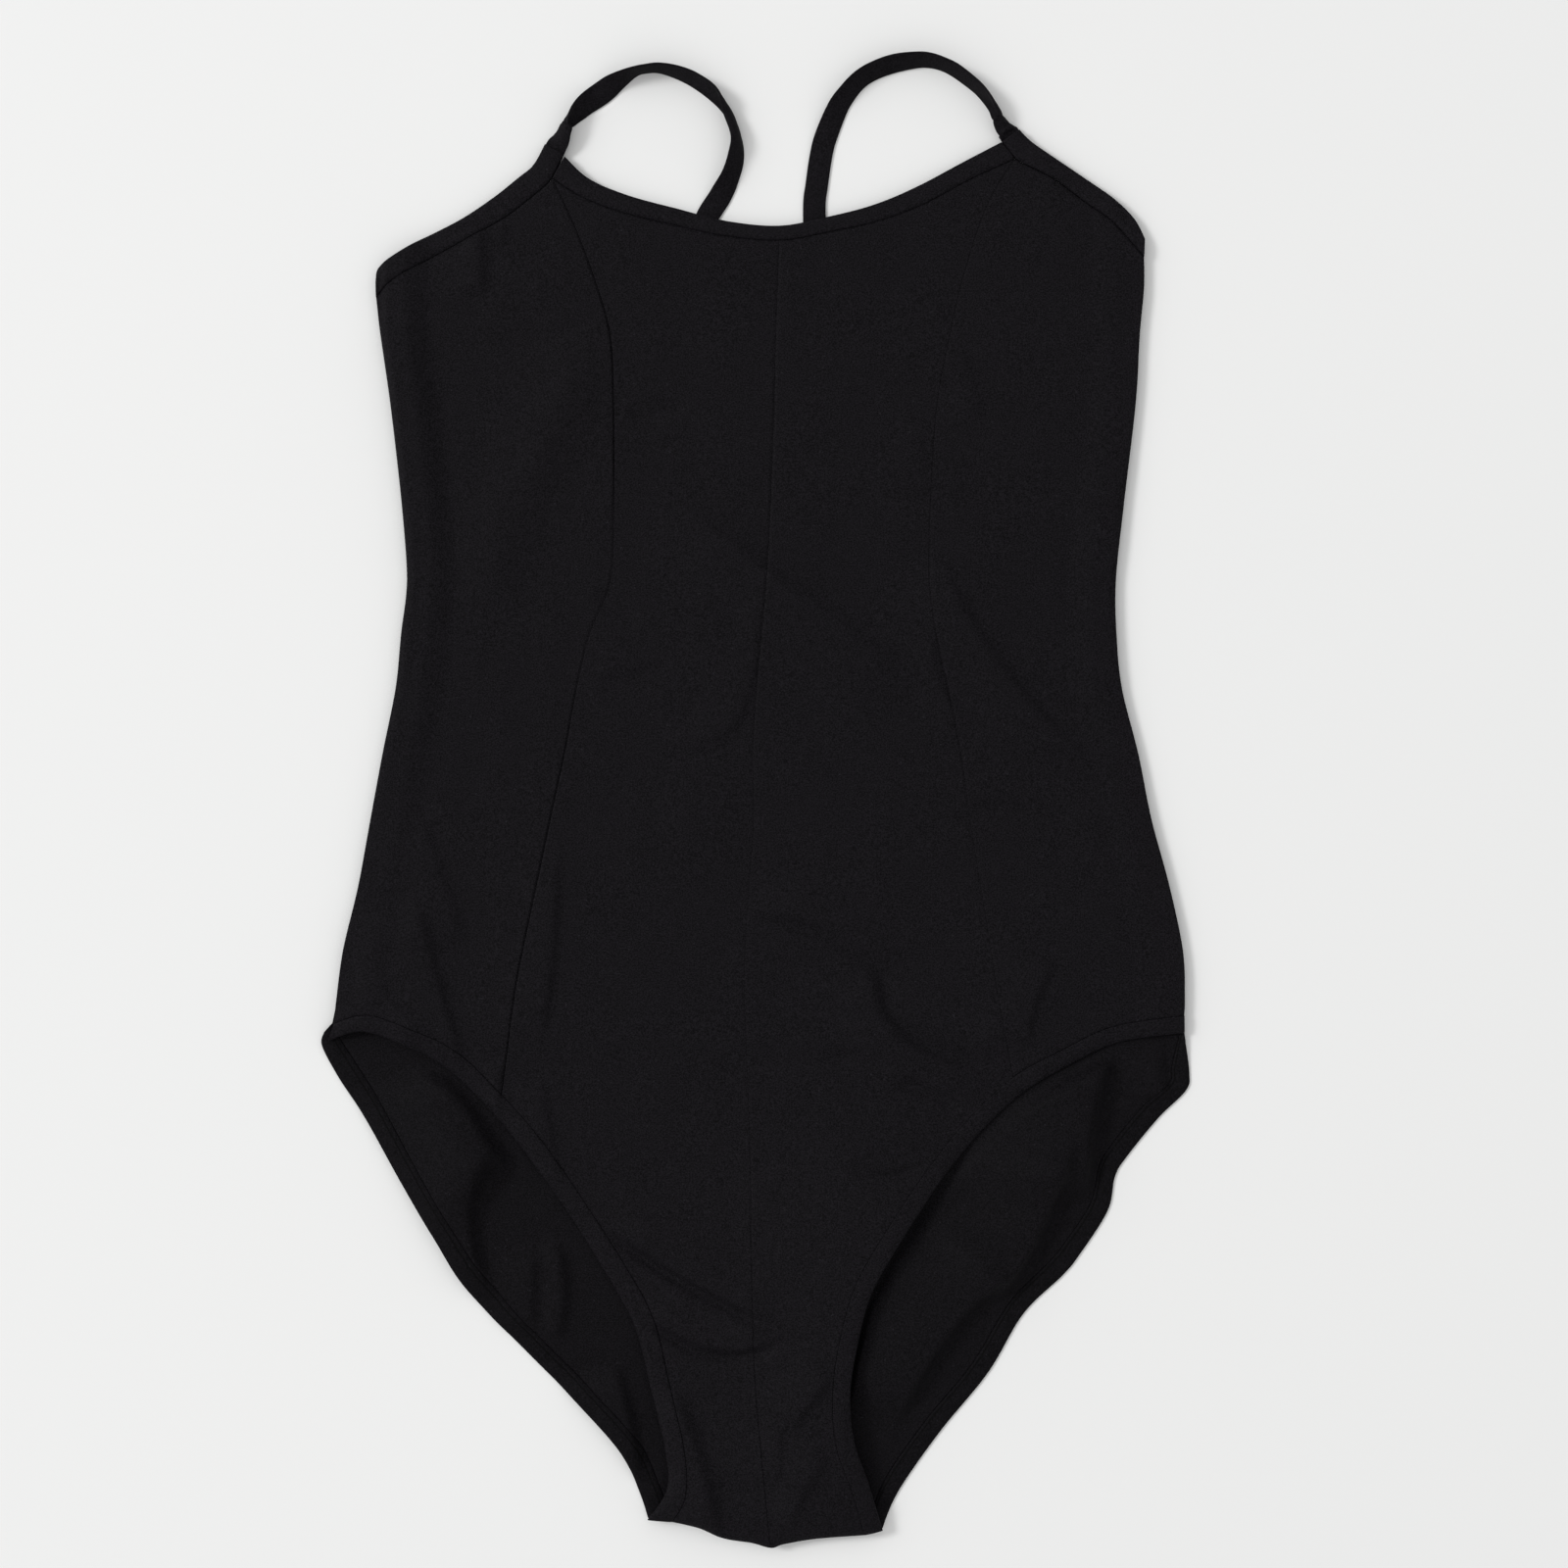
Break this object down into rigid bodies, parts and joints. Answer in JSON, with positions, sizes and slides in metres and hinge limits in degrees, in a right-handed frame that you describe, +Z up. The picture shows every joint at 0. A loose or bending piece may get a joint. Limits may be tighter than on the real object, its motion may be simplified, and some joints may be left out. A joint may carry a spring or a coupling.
{
  "type": "camisole leotard",
  "caption": "Sleeveless stretch leotard with thin shoulder straps, scooped neckline, princess seams and high cut leg openings, laid flat with its front up.",
  "frame": {"origin": "centre of the garment's outline, on the surface that it lies on", "axes": "+X to the right of the front as it is looked at from above, +Y from the crotch fold towards the straps, +Z up from the surface"},
  "size_m": [0.3978, 0.6833, 0.0129],
  "materials": {
    "jersey": "matte",
    "binding": "matte"
  },
  "bodies": {
    "root": {"back_panel": "jersey", "front_centre_left": "jersey", "front_centre_right": "jersey", "front_side_left": "jersey", "front_side_right": "jersey", "neck_binding": "binding", "underarm_binding_left": "binding", "underarm_binding_right": "binding", "back_binding": "binding", "leg_hem_front_left": "binding", "leg_hem_front_right": "binding", "leg_hem_back_left": "binding", "leg_hem_back_right": "binding", "strap_left": "binding", "strap_right": "binding"}
  },
  "joints": []
}
